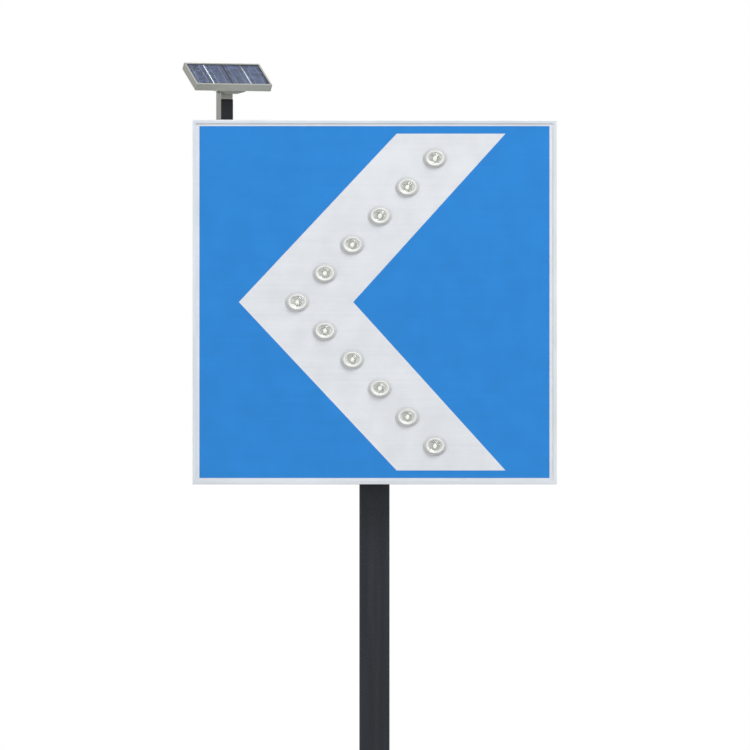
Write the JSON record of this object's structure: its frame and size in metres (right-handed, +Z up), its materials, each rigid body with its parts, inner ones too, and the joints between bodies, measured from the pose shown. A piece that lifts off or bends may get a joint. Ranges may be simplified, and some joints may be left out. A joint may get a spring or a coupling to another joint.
{
  "type": "solar led chevron road sign",
  "caption": "Square blue road sign box with a white chevron lined with LED lamps, a small swivelling and tilting solar panel above it, on a square post with a base plate.",
  "frame": {"origin": "middle of the base plate's underside, on the post's axis, at ground level", "axes": "+Z up along the post; the sign faces -Y; +X is to the right of someone who reads the sign"},
  "size_m": [0.6172, 0.25, 1.8956],
  "materials": {
    "post_paint": "dark grey powder coat",
    "black_plastic": "moulded, fine texture",
    "mast_cover_pvc": "extruded, satin",
    "frame_aluminium": "extruded, clear anodised",
    "face_aluminium": "rolled sheet",
    "blue_sheeting": "retroreflective film",
    "white_sheeting": "retroreflective film",
    "back_aluminium": "rolled sheet, matt",
    "seal_rubber": "extruded foam rubber",
    "zinc_steel": "bright zinc plate",
    "rail_aluminium": "extruded, mill finish",
    "galvanised_steel": "hot-dip galvanised",
    "cradle_steel": "galvanised sheet",
    "lamp_bezel": "moulded, polished",
    "lamp_lens": "clear polycarbonate",
    "lamp_nut_plastic": "moulded nylon",
    "lamp_emitter": "epoxy",
    "circuit_board": "solder mask",
    "controller_parts": "moulded",
    "battery_wrap": "shrink sleeve",
    "lock_chrome": "plated",
    "panel_frame": "extruded, clear anodised",
    "panel_glass": "tempered, clear",
    "solar_cell": "coated silicon",
    "panel_backsheet": "laminated film"
  },
  "bodies": {
    "sign_post": {"back_plate": "back_aluminium", "back_screws": "zinc_steel", "back_seal": "seal_rubber", "base_gussets": "post_paint", "base_plate": "post_paint", "battery_cells": "battery_wrap", "battery_holder": "black_plastic", "blue_sheeting": "blue_sheeting", "body_hinge_leaf": "zinc_steel", "body_rivets": "rail_aluminium", "clamp_bolts": "zinc_steel", "clamp_nuts": "zinc_steel", "clamp_straps": "galvanised_steel", "controller_board": "circuit_board", "controller_parts": "controller_parts", "corner_keys": "frame_aluminium", "equipment_tray": "back_aluminium", "face_plate": "face_aluminium", "foot_screws": "zinc_steel", "frame_bottom": "frame_aluminium", "frame_left": "frame_aluminium", "frame_right": "frame_aluminium", "frame_top": "frame_aluminium", "hinge_pin": "zinc_steel", "lamp_bezels": "lamp_bezel", "lamp_boards": "circuit_board", "lamp_emitters": "lamp_emitter", "lamp_gaskets": "seal_rubber", "lamp_lenses": "lamp_lens", "lamp_nuts": "lamp_nut_plastic", "lead_grommet": "seal_rubber", "mast_foot": "galvanised_steel", "mounting_rail_lower": "rail_aluminium", "mounting_rail_upper": "rail_aluminium", "post_cap": "black_plastic", "post_tube": "post_paint", "standoffs": "lamp_nut_plastic", "switch_body": "black_plastic", "swivel_lock_bolt": "zinc_steel", "white_border": "white_sheeting", "white_chevron": "white_sheeting"},
    "service_door": {"door_panel": "back_aluminium", "door_gasket": "seal_rubber", "door_hinge_leaf": "zinc_steel"},
    "door_lock": {"door_lock": "lock_chrome"},
    "switch_rocker": {"switch_rocker": "black_plastic"},
    "mast": {"mast_spigot": "galvanised_steel", "mast_channel": "galvanised_steel", "mast_cover": "mast_cover_pvc", "tilt_fasteners": "zinc_steel"},
    "solar_panel": {"panel_cradle": "cradle_steel", "cradle_screws": "zinc_steel", "panel_frame": "panel_frame", "panel_glass": "panel_glass", "panel_cells": "solar_cell", "panel_backsheet": "panel_backsheet", "junction_box": "black_plastic", "junction_gland": "black_plastic"}
  },
  "joints": [
    {"name": "mast_swivel", "type": "hinge", "parent": "sign_post", "child": "mast", "pos_m": [-0.248, -0.023, 1.785], "axis": [0, 0, 1], "range_deg": [-174, 126]},
    {"name": "panel_tilt", "type": "hinge", "parent": "mast", "child": "solar_panel", "pos_m": [-0.248, -0.023, 1.8535], "axis": [0.9135, 0.4067, 0], "range_deg": [-34, 31]},
    {"name": "service_door", "type": "hinge", "parent": "sign_post", "child": "service_door", "pos_m": [0.247, -0.038, 1.5], "axis": [0, 0, -1], "range_deg": [0, 110]},
    {"name": "door_lock", "type": "hinge", "parent": "service_door", "child": "door_lock", "pos_m": [0.082, -0.038, 1.5], "axis": [0, -1, 0], "range_deg": [0, 90]},
    {"name": "power_switch", "type": "hinge", "parent": "sign_post", "child": "switch_rocker", "pos_m": [0.15, -0.043, 1.369], "axis": [-1, 0, 0], "range_deg": [0, 20]}
  ]
}
